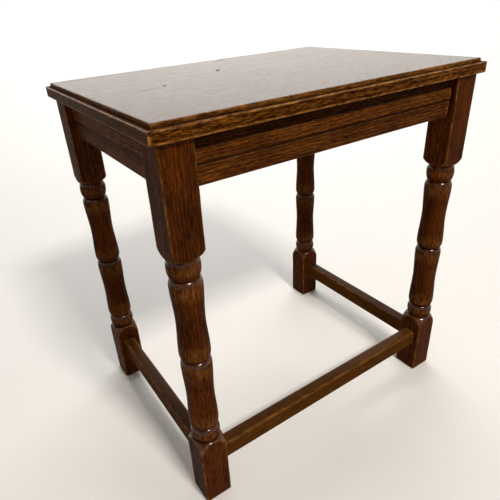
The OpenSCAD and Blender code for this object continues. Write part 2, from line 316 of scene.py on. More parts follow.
class Tree:
    """Short calls for building one material's node tree."""

    def __init__(self, name):
        self.material = bpy.data.materials.new(name)
        self.material.use_nodes = True
        self.nodes = self.material.node_tree.nodes
        self.links = self.material.node_tree.links
        self.shader = self.nodes["Principled BSDF"]

    def put(self, socket, value):
        """Links a socket to another one, or sets its number."""
        if isinstance(value, bpy.types.NodeSocket):
            self.links.new(value, socket)
        else:
            socket.default_value = value

    def math(self, operation, a, b=0.0, clamp=False):
        """Arithmetic on one or two numbers."""
        node = self.nodes.new("ShaderNodeMath")
        node.operation = operation
        node.use_clamp = clamp
        self.put(node.inputs[0], a)
        self.put(node.inputs[1], b)
        return node.outputs[0]

    def vector(self, operation, a, b=(0.0, 0.0, 0.0)):
        """Arithmetic on vectors."""
        node = self.nodes.new("ShaderNodeVectorMath")
        node.operation = operation
        self.put(node.inputs[0], a)
        self.put(node.inputs[1], b)
        return node.outputs["Value" if operation in ("LENGTH", "DOT_PRODUCT") else "Vector"]

    def noise(self, place, cells, detail=2.0, roughness=0.5, out="Factor"):
        """Perlin noise. cells is how many of its cells go to a metre along each axis."""
        node = self.nodes.new("ShaderNodeTexNoise")
        self.put(node.inputs["Vector"], self.vector("MULTIPLY", place, cells))
        node.inputs["Scale"].default_value = 1.0
        node.inputs["Detail"].default_value = detail
        node.inputs["Roughness"].default_value = roughness
        return node.outputs[0 if out == "Factor" else 1]

    def grain(self, place, along, across, detail=2.0, roughness=0.5, out="Factor"):
        """Noise drawn out along the fibre, which runs along X of the given place."""
        return self.noise(place, (along, across, across), detail, roughness, out)

    def turned(self, kind, place, location, rotation, scale=(1.0, 1.0, 1.0)):
        """A place moved, turned and scaled by a Mapping node of one kind."""
        node = self.nodes.new("ShaderNodeMapping")
        node.vector_type = kind
        self.put(node.inputs["Vector"], place)
        node.inputs["Location"].default_value = location
        node.inputs["Rotation"].default_value = rotation
        node.inputs["Scale"].default_value = scale
        return node.outputs["Vector"]

    def object_place(self):
        """The place on the piece, in metres in the frame."""
        return self.nodes.new("ShaderNodeTexCoord").outputs["Object"]

    def fibre_place(self, axis, pith):
        """The place with the fibre turned from a piece's own axis onto X, and moved off the pith."""
        return self.turned("POINT", self.object_place(), pith, GRAIN_TURN[axis])

    def bump(self, height, amount, depth):
        """Roughens the shader's surface by a height, up to a depth in metres."""
        node = self.nodes.new("ShaderNodeBump")
        node.inputs["Strength"].default_value = amount
        node.inputs["Distance"].default_value = depth
        self.put(node.inputs["Height"], height)
        self.put(self.shader.inputs["Normal"], node.outputs["Normal"])

    def step(self, value, low, high, out_low=0.0, out_high=1.0):
        """Smooth step of a number from low to high."""
        node = self.nodes.new("ShaderNodeMapRange")
        node.interpolation_type = "SMOOTHSTEP"
        self.put(node.inputs["Value"], value)
        node.inputs["From Min"].default_value = low
        node.inputs["From Max"].default_value = high
        node.inputs["To Min"].default_value = out_low
        node.inputs["To Max"].default_value = out_high
        return node.outputs["Result"]

    def mix(self, factor, a, b):
        """Colour a where the factor is 0, and b where it is 1."""
        node = self.nodes.new("ShaderNodeMix")
        node.data_type = "RGBA"
        self.put(node.inputs["Factor"], factor)
        self.put(node.inputs[6], a)
        self.put(node.inputs[7], b)
        return node.outputs[2]

    def mark(self, place, x, y, half_length, half_width, degrees):
        """1 inside a thin upright pillar whose plan is an ellipse, fading to 0 past its rim."""
        rotation = (0.0, 0.0, math.radians(degrees))
        inside = self.turned("TEXTURE", place, (x, y, 0.0), rotation, (half_length, half_width, PILLAR_H))
        return self.step(self.vector("LENGTH", inside), 0.50, 1.25, 1.0, 0.0)

    def attribute(self, name):
        """A number that the mesh keeps for every vertex."""
        node = self.nodes.new("ShaderNodeAttribute")
        node.attribute_name = name
        return node.outputs["Fac"]


def rgba(colour_value, gain=1.0):
    """A colour with full alpha."""
    return (*[min(1.0, c * gain) for c in colour_value], 1.0)


def top_marks(t, where):
    """How much of an old mark lies at each place of the top, 0 to 1. Two knots and two cracks stand at round
    centimetres. Small pits are the rare high peaks of a flat noise."""
    knot_length, knot_width = 0.007, 0.003
    crack_length, crack_width = 0.025, 0.0014
    knot = t.mark(where, -0.03, 0.05, knot_length, knot_width, 60.0)
    back_crack = t.mark(where, 0.03, 0.14, crack_length, crack_width, 35.0)
    end_knot = t.mark(where, -0.13, 0.0, knot_length * 0.7, knot_width * 0.8, 45.0)
    end_crack = t.mark(where, -0.16, -0.01, crack_length * 0.8, crack_width * 0.8, 15.0)
    pits = t.step(t.noise(where, (75.0, 130.0, 0.0), 0.0), 0.84, 0.89)
    knots = t.math("MULTIPLY", t.math("MAXIMUM", knot, end_knot), 0.9)
    cracks = t.math("MULTIPLY", t.math("MAXIMUM", back_crack, end_crack), 0.6)
    return t.math("MAXIMUM", t.math("MAXIMUM", knots, cracks), t.math("MULTIPLY", pits, 0.5))


def bent_fibre(t, place):
    """The place moved sideways by the wander of the grain: a slow drift and a finer ripple."""
    middle = (0.5, 0.5, 0.5)
    drift = t.vector("SUBTRACT", t.grain(place, 3.0, 14.0, 2.0, out="Color"), middle)
    ripple = t.vector("SUBTRACT", t.grain(place, 34.0, 80.0, 1.0, out="Color"), middle)
    drift = t.vector("MULTIPLY", drift, (0.0, 0.011, 0.011))
    ripple = t.vector("MULTIPLY", ripple, (0.0, 0.0032, 0.0032))
    return t.vector("ADD", t.vector("ADD", place, drift), ripple)


def early_wood(t, bent):
    """The open early part of each growth ring, 0 to 1: the distance from the pith line, counted in ring
    widths."""
    ring_w = 0.0036
    pith_r = t.vector("LENGTH", t.vector("MULTIPLY", bent, (0.035, 1.0, 1.0)))
    rings = t.math("MULTIPLY", pith_r, 1.0 / ring_w)
    uneven = t.grain(bent, 1.2, 40.0, 1.0)
    phase = t.math("FRACT", t.math("ADD", rings, t.math("MULTIPLY", uneven, 2.2)))
    return t.math("MULTIPLY", t.step(phase, 0.0, 0.12), t.step(phase, 0.30, 0.66, 1.0, 0.0))


def open_cells(t, bent, early):
    """Flecks of two sizes and fine open pores, 0 to 1, all thicker in the early wood."""
    wide = t.math("ADD", t.grain(bent, 105.0, 800.0, 1.0), t.math("MULTIPLY", early, 0.06))
    short = t.math("ADD", t.grain(bent, 160.0, 1300.0, 1.0), t.math("MULTIPLY", early, 0.08))
    pores = t.math("ADD", t.grain(bent, 190.0, 2300.0, 1.5, 0.55), t.math("MULTIPLY", early, 0.085))
    wide = t.math("MULTIPLY", t.step(wide, 0.50, 0.61), 0.60)
    short = t.math("MULTIPLY", t.step(short, 0.50, 0.60), 0.75)
    pores = t.math("MULTIPLY", t.step(pores, 0.60, 0.69), 0.35)
    return t.math("ADD", t.math("ADD", wide, short), pores, clamp=True)


def oak(name, axis, dark, light, finish, pith, flecks, coat, roughness=0.46, wear=1.0, marked=False):
    """Stained and varnished oak as a solid pattern: growth rings round a far pith line, short dark flecks and
    open pores along the fibre, blotches of stain, rubbed edges, and painted shade in the grooves, creases and
    recesses, partly grime. coat holds the weight of the varnish where the polish attribute is 0 and where it
    is 1, and its roughness."""
    t = Tree(name)
    place = t.fibre_place(axis, pith)
    bent = bent_fibre(t, place)
    early = early_wood(t, bent)
    cells = open_cells(t, bent, early)

    # fibre, streaks and stain blotches
    fibre = t.grain(bent, 70.0, 900.0, 3.0, 0.62)
    streak = t.grain(bent, 14.0, 220.0, 3.0, 0.60)
    blotch = t.grain(place, 16.0, 34.0, 3.0, 0.6)
    tone = t.math("ADD", t.math("MULTIPLY", fibre, 0.80), t.math("MULTIPLY", streak, 0.34))
    tone = t.math("ADD", tone, t.math("MULTIPLY", blotch, 0.42))
    tone = t.step(t.math("SUBTRACT", tone, t.math("MULTIPLY", early, 0.05)), 0.54, 1.02)
    wood = t.mix(tone, rgba(dark), rgba(light))
    wood = t.mix(t.math("MULTIPLY", cells, flecks, clamp=True), wood, rgba(dark, 0.30))
    wood = t.mix(t.math("MULTIPLY", t.attribute(END_GRAIN), 0.35), wood, rgba(dark, 0.8))

    # rubbed edges, broken up by noise, and painted shade, partly grime, in the grooves, creases and under the
    # top
    rub_noise = t.grain(place, 90.0, 300.0, 3.0, 0.65)
    rubbed = t.math("MULTIPLY", t.attribute(WORN), t.step(rub_noise, 0.36, 0.66))
    wood = t.mix(t.math("MULTIPLY", rubbed, wear, clamp=True), wood, rgba(finish.worn))
    wood = t.mix(t.math("MULTIPLY", t.attribute(PAINTED_SHADE_AND_GRIME), 0.88, clamp=True), wood, rgba(finish.painted_shade_and_grime))
    if marked:
        scars = top_marks(t, t.object_place())
        wood = t.mix(scars, wood, rgba(finish.painted_shade_and_grime))
    t.put(t.shader.inputs["Base Color"], wood)

    # varnish: satin, uneven, and duller over open grain, rubbed edges, and the grooves and creases that carry
    # painted shade and grime
    patchy = t.grain(place, 45.0, 110.0, 3.0, 0.6)
    rough = t.math("ADD", roughness - 0.10, t.math("MULTIPLY", patchy, 0.16))
    rough = t.math("ADD", rough, t.math("MULTIPLY", cells, 0.12))
    rough = t.math("ADD", rough, t.math("MULTIPLY", rubbed, 0.12))
    rough = t.math("ADD", rough, t.math("MULTIPLY", t.attribute(PAINTED_SHADE_AND_GRIME), 0.25), clamp=True)
    t.put(t.shader.inputs["Roughness"], rough)

    t.bump(t.math("SUBTRACT", t.math("MULTIPLY", fibre, 0.30), cells), 0.40, 0.00022)
    t.shader.inputs["IOR"].default_value = WOOD_IOR
    t.shader.inputs["Specular IOR Level"].default_value = WOOD_SHINE
    t.shader.inputs["Specular Tint"].default_value = rgba(finish.shine_tint)
    low, high, coat_roughness = coat
    film = t.step(t.attribute(POLISH), 0.0, 1.0, low, high)
    if marked:
        film = t.math("MULTIPLY", film, t.math("SUBTRACT", 1.0, t.math("MULTIPLY", scars, 0.97)))
        film = t.math("MULTIPLY", film, t.math("SUBTRACT", 1.0, t.math("MULTIPLY", cells, 0.22)))
    t.put(t.shader.inputs["Coat Weight"], film)
    t.shader.inputs["Coat Roughness"].default_value = coat_roughness
    t.shader.inputs["Coat IOR"].default_value = VARNISH_IOR
    return t.material


def bare_wood(name, dark, light, spacing):
    """Unfinished close-grained wood: soft rings, fine fibre and no varnish."""
    t = Tree(name)
    place = t.fibre_place("x", (0.0, 0.07, 0.05))
    wander = t.grain(place, 6.0, 30.0)
    ring_r = t.vector("LENGTH", t.vector("MULTIPLY", place, (0.05, 1.0, 1.0)))
    phase = t.math("FRACT", t.math("ADD", t.math("MULTIPLY", ring_r, 1.0 / spacing), wander))
    late = t.step(phase, 0.45, 0.95)
    fibre = t.grain(place, 20.0, 900.0, 3.0, 0.6)
    tone = t.math("SUBTRACT", t.math("ADD", fibre, 0.25), t.math("MULTIPLY", late, 0.45), clamp=True)
    t.put(t.shader.inputs["Base Color"], t.mix(tone, rgba(dark), rgba(light)))
    t.put(t.shader.inputs["Roughness"], t.math("ADD", 0.62, t.math("MULTIPLY", fibre, 0.2)))
    t.bump(fibre, 0.3, 0.0002)
    return t.material


def dull_brass(name, base):
    """Old brass: fine turning marks and brown tarnish in patches."""
    t = Tree(name)
    where = t.object_place()
    tarnish = t.step(t.noise(where, (420.0, 420.0, 420.0), 4.0, 0.65), 0.42, 0.62)
    scratch = t.noise(where, (2600.0, 300.0, 2600.0))
    t.put(t.shader.inputs["Base Color"], t.mix(tarnish, rgba(base), rgba(base, 0.35)))
    rough = t.math("ADD", t.math("MULTIPLY", tarnish, 0.3), t.math("MULTIPLY", scratch, 0.4))
    t.put(t.shader.inputs["Roughness"], rough)
    t.shader.inputs["Metallic"].default_value = 1.0
    return t.material


# ---- top --------------------------------------------------------------------


# Rounding of the raised field's edge over the rounding of the ledge's edge
LIP_SHARE = 1.7
# How far in from the top's edges the grid is fine
EDGE_REACH = 0.014
# Height of the faint unevenness of the field
UNEVEN_H = 0.00004


def border_lines(sizes):
    """Distances in from an edge where the top's grid has lines: dense over the rounded lower edge, the
    eased upper edge, the ledge and the riser, then wider."""
    ease = sizes.edge_ease
    turn = np.sin(np.linspace(0.0, np.pi / 2, 6))
    edge = np.concatenate([(1 - turn[::-1]) * ease, (1 - turn[::-1]) * sizes.lower_round])
    foot = sizes.ledge_w - sizes.riser_run
    riser = foot + sizes.riser_run * np.array([0.0, 0.12, 0.28, 0.6])
    ledge = [sizes.lower_round + 0.0004, foot - 0.0012, foot - 0.0005, foot - 0.00015, *riser]
    top_ease = sizes.ledge_w + (1 - np.cos(np.linspace(0.0, np.pi / 2, 7))) * ease * LIP_SHARE
    after = sizes.ledge_w + ease * LIP_SHARE + np.array([0.0004, 0.0015, 0.004])
    return np.unique(np.round(np.concatenate([edge, ledge, top_ease, after, [EDGE_REACH]]), 7))


def upper_drop(d, sizes, ease):
    """How far the top's upper side lies below the field at a distance d in from the edge: a quarter circle
    over the outer ease, a flat ledge, a steep riser, and a quarter circle onto the field."""
    lip = ease * LIP_SHARE
    outer = ease - np.sqrt(np.clip(ease**2 - (ease - np.minimum(d, ease)) ** 2, 0.0, None))
    inner_d = np.clip(d - sizes.ledge_w, 0.0, lip)
    inner = lip - np.sqrt(np.clip(lip**2 - (lip - inner_d) ** 2, 0.0, None))
    foot = sizes.ledge_w - sizes.riser_run
    climb = np.clip((d - foot) / sizes.riser_run, 0.0, 1.0)
    on_riser = sizes.ledge_h * (1 - climb) + lip * climb
    return np.where(d >= sizes.ledge_w, inner, np.where(d >= foot, on_riser, sizes.ledge_h + outer))


def lower_rise(d, radius):
    """How far the top's lower side lies above its flat at a distance d in from the edge: a quarter circle."""
    return radius - np.sqrt(np.clip(radius**2 - (radius - np.minimum(d, radius)) ** 2, 0.0, None))


def board_lines(node, sizes, slab_low, slab_high):
    """X and Y lines of a board's grid: those of the border along the top's outer edges, and even ones
    between."""
    low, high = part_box(node)
    inset = border_lines(sizes)
    even = np.linspace(slab_low.x + EDGE_REACH, slab_high.x - EDGE_REACH, 72)[1:-1]
    x = np.concatenate([slab_low.x + inset, even, slab_high.x - inset[::-1]])
    y_parts = []
    y_low, y_high = low.y, high.y
    if abs(low.y - slab_low.y) < SAME_PLACE:
        y_parts.append(slab_low.y + inset)
        y_low = slab_low.y + EDGE_REACH
    if abs(high.y - slab_high.y) < SAME_PLACE:
        y_high = slab_high.y - EDGE_REACH
    middle = np.linspace(y_low, y_high, 20)
    y_parts.append(middle if not y_parts else middle[1:])
    if y_high < high.y:
        y_parts.append((slab_high.y - inset[::-1])[1:])
    return x, np.concatenate(y_parts)


def upper_values(d, sizes, ease):
    """Wear, painted shade and polish of the top's upper side at a distance d in from the edge: wear on the
    two arrises, painted shade, partly grime, in the crease at the foot of the riser, and polish on the field
    and the outer arris."""
    lip = sizes.ledge_w + ease * 0.5
    worn = 0.80 * near(d, 0.0010) + 0.30 * near(d - lip, 0.0008)
    foot = sizes.ledge_w - sizes.riser_run
    up_riser = np.clip((d - foot) / sizes.riser_run, 0.0, 1.0)
    # painted shade, partly grime, darkening the crease at the riser's foot
    painted_shade_and_grime = np.where(d > foot, np.clip(1 - 4.0 * up_riser, 0.0, 1.0), near(d - foot, 0.0013))
    polish = np.maximum(np.clip((d - sizes.ledge_w) / 0.0004, 0.0, 1.0), 0.8 * near(d, 0.0009))
    return worn, painted_shade_and_grime, polish


def board_surface(name, node, sizes, slab_low, slab_high, seed):
    """One board of the glued-up top. Upper and lower side are heights over one grid of X and Y lines, which
    fall and rise with the distance to the nearest outer edge of the whole top. A wall joins them around the
    border."""
    x, y = board_lines(node, sizes, slab_low, slab_high)
    gx, gy = np.meshgrid(x, y, indexing="ij")
    dx = np.minimum(gx - slab_low.x, slab_high.x - gx)
    dy = np.minimum(gy - slab_low.y, slab_high.y - gy)
    d = np.clip(np.minimum(dx, dy), 0.0, None)
    ease = sizes.edge_ease * (1.0 + 0.45 * unseen_wave(gx + 1.7 * gy, seed, 0.11))
    inside = np.clip((d - EDGE_REACH) / 0.02, 0.0, 1.0)
    ripple = UNEVEN_H * unseen_wave(gx * 0.35 + gy * 1.4, seed + 5, 0.05) * inside
    top_z = slab_high.z - upper_drop(d, sizes, ease) - UNEVEN_H + ripple
    low_z = slab_low.z + lower_rise(d, sizes.lower_round)

    count_x, count_y = gx.shape
    numbers = np.arange(count_x * count_y).reshape(count_x, count_y)
    top_points = np.stack([gx, gy, top_z], -1).reshape(-1, 3)
    low_points = np.stack([gx, gy, low_z], -1).reshape(-1, 3)
    a, b = numbers[:-1, :-1], numbers[1:, :-1]
    c, e = numbers[1:, 1:], numbers[:-1, 1:]
    shift = count_x * count_y
    top_quads = np.stack([a, b, c, e], -1).reshape(-1, 4)
    low_quads = np.stack([a, e, c, b], -1).reshape(-1, 4) + shift

    # the wall: rings of points round the border between the two sides
    border = np.concatenate([numbers[:-1, 0], numbers[-1, :-1], numbers[:0:-1, -1], numbers[0, :0:-1]])
    levels = np.array([0.04, 0.11, 0.35, 0.65, 0.89, 0.96])
    upper, lower = top_points[border], low_points[border]
    walls = upper[None] + (lower - upper)[None] * levels[:, None, None]
    wall_ids = 2 * shift + np.arange(len(levels) * len(border)).reshape(len(levels), -1)
    rows = np.concatenate([border[None], wall_ids, border[None] + shift])
    after = np.roll(rows, -1, axis=1)
    wall_quads = np.stack([rows[:-1], rows[1:], after[1:], after[:-1]], -1).reshape(-1, 4)

    worn, painted_shade_and_grime, polish = upper_values(d, sizes, ease)
    outer = (d.ravel()[border] < 1e-6).astype(float)
    corner = near(np.maximum(dx, dy).ravel()[border], 0.0016) * outer
    wall_worn = np.broadcast_to(corner, (len(levels), len(border))).copy()
    wall_worn[0] = np.maximum(wall_worn[0], 0.55 * outer)
    wall_worn[-1] = np.maximum(wall_worn[-1], 0.35 * outer)
    at_end = (dx < dy).astype(float)
    on_step = at_end * (d <= sizes.ledge_w)
    wall_end = np.tile(at_end.ravel()[border], len(levels))
    below = np.zeros(shift + wall_worn.size)
    values = {
        WORN: np.concatenate([worn.ravel(), 0.6 * near(d, 0.0012).ravel(), wall_worn.ravel()]),
        PAINTED_SHADE_AND_GRIME: np.concatenate([painted_shade_and_grime.ravel(), below]),
        POLISH: np.concatenate([polish.ravel(), below]),
        END_GRAIN: np.concatenate([on_step.ravel(), np.zeros(shift), wall_end]),
    }
    points = np.concatenate([top_points, low_points, walls.reshape(-1, 3)])
    return build_mesh(name, points, np.concatenate([top_quads, low_quads, wall_quads]), None, values)


class NEST_OT_top(bpy.types.Operator):
    """Three glued boards with the raised field, the ledge and the eased edges"""

    bl_idname = "nest_table.top"
    bl_label = "Top boards"

    def execute(self, context):
        sizes, finish = context.scene.nest_sizes, context.scene.nest_finish
        corners = [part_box(node) for node in BOARDS]
        slab_low = Vector([min(low[i] for low, _ in corners) for i in range(3)])
        slab_high = Vector([max(high[i] for _, high in corners) for i in range(3)])
        for count, node in enumerate(BOARDS):
            material = oak(
                f"oak top board {count + 1}",
                "x",
                finish.top_dark,
                finish.top_light,
                finish,
                (0.21 * count + 0.05, 0.035 - 0.09 * count, -0.40 + 0.06 * count),
                flecks=0.90,
                coat=(0.0, 1.0, 0.19),
                roughness=0.38,
                marked=True,
            )
            piece = board_surface(f"{node}_finished", node, sizes, slab_low, slab_high, 3)
            finish_piece(piece, material, "top_oak", node)
        return {"FINISHED"}


# ---- legs -------------------------------------------------------------------


def square_radius(tangent, half, ease):
    """Distance from a leg's middle line to its side, for a square with round corners: to the flat where the
    direction meets it, and else to the corner circle. tangent runs from -1 to 1 over one side."""
    angle = np.arctan(tangent)
    flat = half / np.cos(angle)
    to_corner = np.pi / 4 - np.abs(angle)
    m = (half - ease) * np.sqrt(2.0)
    arc = m * np.cos(to_corner) + np.sqrt(np.clip(ease**2 - (m * np.sin(to_corner)) ** 2, 0.0, None))
    return np.where(np.abs(tangent) * half > half - ease, arc, flat)


def turning_heights(sizes, leg_h):
    """Heights above the floor where the turning changes: the neck over the foot, the tops of the lower bead
    and the two hollows, the neck under the upper block, and the top of its shoulder."""
    neck = sizes.foot_block_h + sizes.foot_shoulder_h
    bead_1 = neck + sizes.low_bead_h
    hollow_1 = bead_1 + sizes.low_hollow_l
    shoulder = leg_h - sizes.upper_block_h
    neck_2 = shoulder - sizes.block_shoulder_h
    hollow_2 = neck_2 - sizes.high_bead_h
    return neck, bead_1, hollow_1, hollow_2, neck_2, shoulder


def turned_radius(z, sizes, heights, open_r):
    """Radius of the turning at each height: quarter ellipses up the shoulders, half ellipses for the beads,
    and hollows with elliptical ends and a cosine waist. Outside the turning it is open_r."""
    neck, bead_1, hollow_1, hollow_2, neck_2, shoulder = heights
    groove, lobe = sizes.groove_r, sizes.lobe_r

    def bulge(z0, z1):
        """A half ellipse from one groove to the next."""
        t = np.clip(np.abs(2 * (z - z0) / (z1 - z0) - 1), 0.0, 1.0)
        return groove + (lobe - groove) * np.sqrt(1 - t**2)

    def hollow(z0, z1, waist):
        """Quarter ellipses out of both grooves, and one cosine wave in to the waist between them."""
        end = sizes.hollow_end_l
        t = np.clip((z - z0 - end) / (z1 - z0 - 2 * end), 0.0, 1.0)
        body = lobe - (lobe - waist) * (1 - np.cos(2 * np.pi * t)) / 2
        q = np.clip(1 - np.minimum(z - z0, z1 - z) / end, 0.0, 1.0)
        return np.where(q > 0, groove + (lobe - groove) * np.sqrt(1 - q**2), body)

    up = np.clip((z - sizes.foot_block_h) / sizes.foot_shoulder_h, 0.0, 1.0)
    foot_shoulder = groove + (open_r - groove) * np.sqrt(1 - up**2)
    down = np.clip((shoulder - z) / sizes.block_shoulder_h, 0.0, 1.0)
    block_shoulder = groove + (open_r - groove) * np.sqrt(1 - down**2)
    picks = [z < neck, z < bead_1, z < hollow_1, z < hollow_2, z < neck_2]
    shapes = [
        foot_shoulder,
        bulge(neck, bead_1),
        hollow(bead_1, hollow_1, sizes.low_waist_r),
        hollow(hollow_1, hollow_2, sizes.high_waist_r),
        bulge(hollow_2, neck_2),
    ]
    return np.select(picks, shapes, block_shoulder)


def soft_least(a, b, width):
    """The smaller of two numbers, with the crossing rounded over a width."""
    h = np.clip(0.5 + 0.5 * (b - a) / width, 0.0, 1.0)
    return b * (1 - h) + a * h - width * h * (1 - h)


def ends_dense(low, high, count):
    """Numbers from low to high, closer together at both ends."""
    return low + (high - low) * (1 - np.cos(np.linspace(0.0, np.pi, count))) / 2


def leg_surface(name, node, sizes, seed):
    """A leg turned from a square blank: at each height and direction the surface lies at the lesser of the
    square's and the turning's distance from the middle line. The square's corners wander in roundness."""
    low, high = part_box(node)
    half = (high.x - low.x) / 2
    mid = (low + high) / 2
    leg_h = high.z - low.z
    open_r = half * math.sqrt(2.0) + 0.001
    heights = turning_heights(sizes, leg_h)
    neck, bead_1, hollow_1, hollow_2, neck_2, shoulder = heights
    z = np.concatenate(
        [
            [0.0, sizes.foot_bevel * 0.5, sizes.foot_bevel, sizes.foot_bevel + 0.0006],
            np.linspace(0.004, sizes.foot_block_h - 0.0006, 16),
            np.linspace(sizes.foot_block_h, neck, 44),
            ends_dense(neck, bead_1, 30)[1:],
            ends_dense(bead_1, hollow_1, 64)[1:],
            ends_dense(hollow_1, hollow_2, 64)[1:],
            ends_dense(hollow_2, neck_2, 28)[1:],
            np.linspace(neck_2, shoulder, 34)[1:],
            np.linspace(shoulder + 0.0006, leg_h, 18),
        ]
    )
    arris = sizes.leg_arris / half
    face = np.linspace(-1.0, 1.0, 43)[1:-1] * (1 - 3.2 * arris)
    by_corner = 1 - np.array([2.4, 1.7, 1.25, 0.95, 0.72, 0.52, 0.36, 0.22, 0.10, 0.0]) * arris
    side = np.concatenate([-by_corner[::-1], face, by_corner[:-1]])
    turn = (np.arctan(side)[None] + np.arange(4)[:, None] * np.pi / 2).ravel()
    tangent = np.tile(side, 4)
    gz, g_tan = np.meshgrid(z, tangent, indexing="ij")
    g_turn = np.broadcast_to(turn, gz.shape)
    corner_id = np.floor((g_turn + np.pi / 2) / (np.pi / 2))
    ease = sizes.leg_arris * (1 + 0.30 * unseen_wave(gz + 0.9 * corner_id, seed, 0.09))
    square = square_radius(g_tan, half, ease)
    bevel = np.clip(sizes.foot_bevel - gz, 0.0, None)
    square = square * (half - bevel) / half
    turned = turned_radius(gz, sizes, heights, open_r)
    wobble = 1 + 0.0025 * unseen_wave(gz, seed + 9, 0.16)
    radius = soft_least(turned * wobble, square, 0.0007)
    radius = np.minimum(radius, half / np.maximum(np.abs(np.cos(g_turn)), np.abs(np.sin(g_turn))))
    grid = np.stack([mid.x + radius * np.cos(g_turn), mid.y + radius * np.sin(g_turn), low.z + gz], -1)

    off_corner = (1 - np.abs(g_tan)) * half
    is_square = np.clip((turned - square) / 0.0008, 0.0, 1.0)
    meeting = near(turned - square, 0.0011) * (gz < leg_h)
    worn = is_square * near(off_corner, 0.0013) * 0.75
    worn = np.maximum(worn, 0.45 * meeting * np.clip((turned - sizes.lobe_r) / 0.001, 0.0, 1.0))
    crown = np.clip((turned - sizes.lobe_r + 0.0006) / 0.0006, 0.0, 1.0) * (1 - is_square)
    worn = np.maximum(worn, 0.30 * crown)
    worn = np.maximum(worn, 0.7 * np.clip(1 - np.abs(gz - sizes.foot_bevel) / 0.0012, 0.0, 1.0))
    # painted shade, partly grime, darkening the turned grooves
    painted_shade_and_grime = np.clip((sizes.groove_r + 0.0013 - turned) / 0.0011, 0.0, 1.0)
    slope = np.gradient(radius, z, axis=0)
    polish = np.clip((-slope / np.sqrt(1 + slope**2) - 0.12) / 0.25, 0.0, 1.0) * (gz > 0.004)
    return closed_tube(name, grid, {WORN: worn, PAINTED_SHADE_AND_GRIME: painted_shade_and_grime, POLISH: polish})


class NEST_OT_legs(bpy.types.Operator):
    """Four legs turned from square blanks"""

    bl_idname = "nest_table.legs"
    bl_label = "Legs"

    def execute(self, context):
        sizes, finish = context.scene.nest_sizes, context.scene.nest_finish
        material = oak(
            "oak legs",
            "z",
            finish.leg_dark,
            finish.leg_light,
            finish,
            (0.02, 0.33, 0.45),
            flecks=0.42,
            coat=(0.03, 0.85, 0.17),
            wear=0.60,
        )
        for count, node in enumerate(LEGS):
            piece = leg_surface(f"{node}_turned", node, sizes, 20 + count)
            finish_piece(piece, material, "leg_oak", node)
        return {"FINISHED"}


# ---- rails and stretchers ---------------------------------------------------


def along_lines(half):
    """Distances along a bar, closer together at its ends."""
    by_end = half - np.array([0.0, 0.0008, 0.002])
    return np.concatenate([-by_end, np.linspace(-half + 0.004, half - 0.004, 40), by_end[::-1]])


def facing_up(outline):
    """How far each point of a closed outline faces upward: the upward part of the outward normal, from the
    chord between its neighbours. 0 below a fifth, 1 from three fifths."""
    after, before = np.roll(outline, -1, 0), np.roll(outline, 1, 0)
    chord = after - before
    turning = np.sign((outline[:, 0] * after[:, 1] - outline[:, 1] * after[:, 0]).sum())
    upward = -turning * chord[:, 0] / np.maximum(np.linalg.norm(chord, axis=1), 1e-9)
    return np.clip((upward - 0.2) / 0.4, 0.0, 1.0)


def on_arris(strengths, steps):
    """Wear of every point of an outline: each corner's strength in the middle of its rounding, and none where
    the rounding meets the flat on either side."""
    return np.outer(strengths, np.sin(np.linspace(0.0, np.pi, steps))).ravel()


def moulded_outline(sizes, height, thickness):
    """Outline of a moulded rail, outward and upward, with wear, painted shade and polish for every point: a
    sloping band on top, an upright band, a groove, and a lower band that falls back. The painted shade
    darkens the groove, the foot and the sloping band where the top's shadow falls, partly as grime."""
    band_top = height - sizes.rail_slope_h
    band_low = band_top - sizes.rail_band_h
    low_top = band_low - sizes.rail_groove_w
    fall, lean = sizes.rail_fall, sizes.rail_lean
    # outward, upward, rounding, wear, painted shade (partly grime)
    corners = np.array(
        [
            [-thickness, 0.0, 0.0008, 0.2, 0.0],
            [-fall, 0.0, 0.0012, 0.5, 0.30],
            [-fall * 0.35, low_top * 0.45, 0.0040, 0.0, 0.0],
            [-fall * 0.30, low_top, 0.0009, 0.20, 0.40],
            # the groove and its lips are darkened with painted shade
            [-sizes.rail_groove, band_low - sizes.rail_groove_w / 2, 0.0003, 0.0, 1.0],
            [-0.0003, band_low, 0.0009, 0.10, 0.75],
            [0.0, band_low + sizes.rail_band_h / 3, 0.0020, 0.0, 0.0],
            [0.0, band_top - sizes.rail_band_h / 3, 0.0020, 0.0, 0.0],
            [-0.0004, band_top, 0.0006, 0.35, 0.0],
            # the sloping band under the top is darkened with painted shadow of the top's overhang, strongest
            # at its upper edge
            [-lean * 0.7, band_top + sizes.rail_slope_h * 0.3, 0.0022, 0.0, 0.65],
            [-lean, height, 0.0004, 0.0, 1.0],
            [-thickness, height, 0.0008, 0.0, 0.0],
        ]
    )
    steps = 7
    outline = soft_corners(corners[:, :2], corners[:, 2], steps)
    values = {WORN: on_arris(corners[:, 3], steps), PAINTED_SHADE_AND_GRIME: np.repeat(corners[:, 4], steps)}
    return outline, {**values, POLISH: facing_up(outline)}


def plain_outline(height, thickness):
    """Outline of the plain rail over the open side, outward and upward, with eased corners."""
    corners = np.array([[-thickness, 0.0], [0.0, 0.0], [0.0, height], [-thickness, height]])
    steps = 7
    outline = soft_corners(corners, [0.0008] * len(corners), steps)
    values = {WORN: on_arris([0.3, 0.6, 0.0, 0.0], steps), PAINTED_SHADE_AND_GRIME: np.zeros(len(corners) * steps)}
    return outline, {**values, POLISH: facing_up(outline)}


